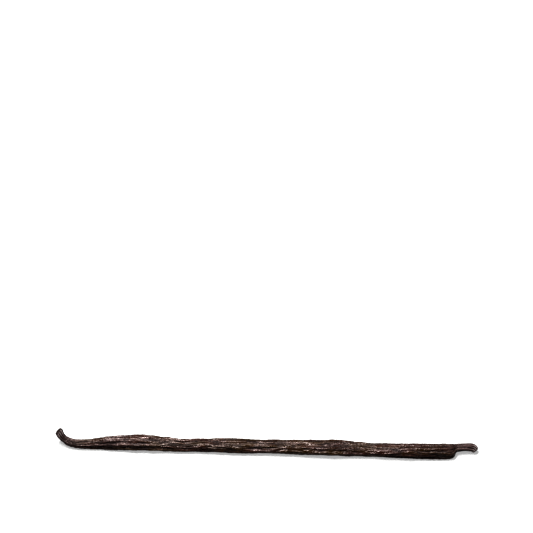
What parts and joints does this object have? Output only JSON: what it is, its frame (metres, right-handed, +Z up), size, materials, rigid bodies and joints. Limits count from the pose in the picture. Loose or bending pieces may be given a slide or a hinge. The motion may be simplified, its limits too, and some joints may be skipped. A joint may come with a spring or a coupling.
{
  "type": "vanilla pod",
  "caption": "Cured vanilla pod: one long, slender, wrinkled dark brown fruit lying on its side, with a hooked stalk at one end and a bent beak at the other.",
  "frame": {"origin": "middle of the pod's footprint, on the surface it lies on", "axes": "+X along the pod from the stalk to the beak, +Z up, +Y to the side that the stalk hooks towards"},
  "size_m": [0.1702, 0.0118, 0.0074],
  "materials": {
    "cured_skin": "dark brown wrinkled skin with an oily satin sheen"
  },
  "bodies": {
    "root": {"vanilla_pod": "cured_skin"}
  },
  "joints": []
}
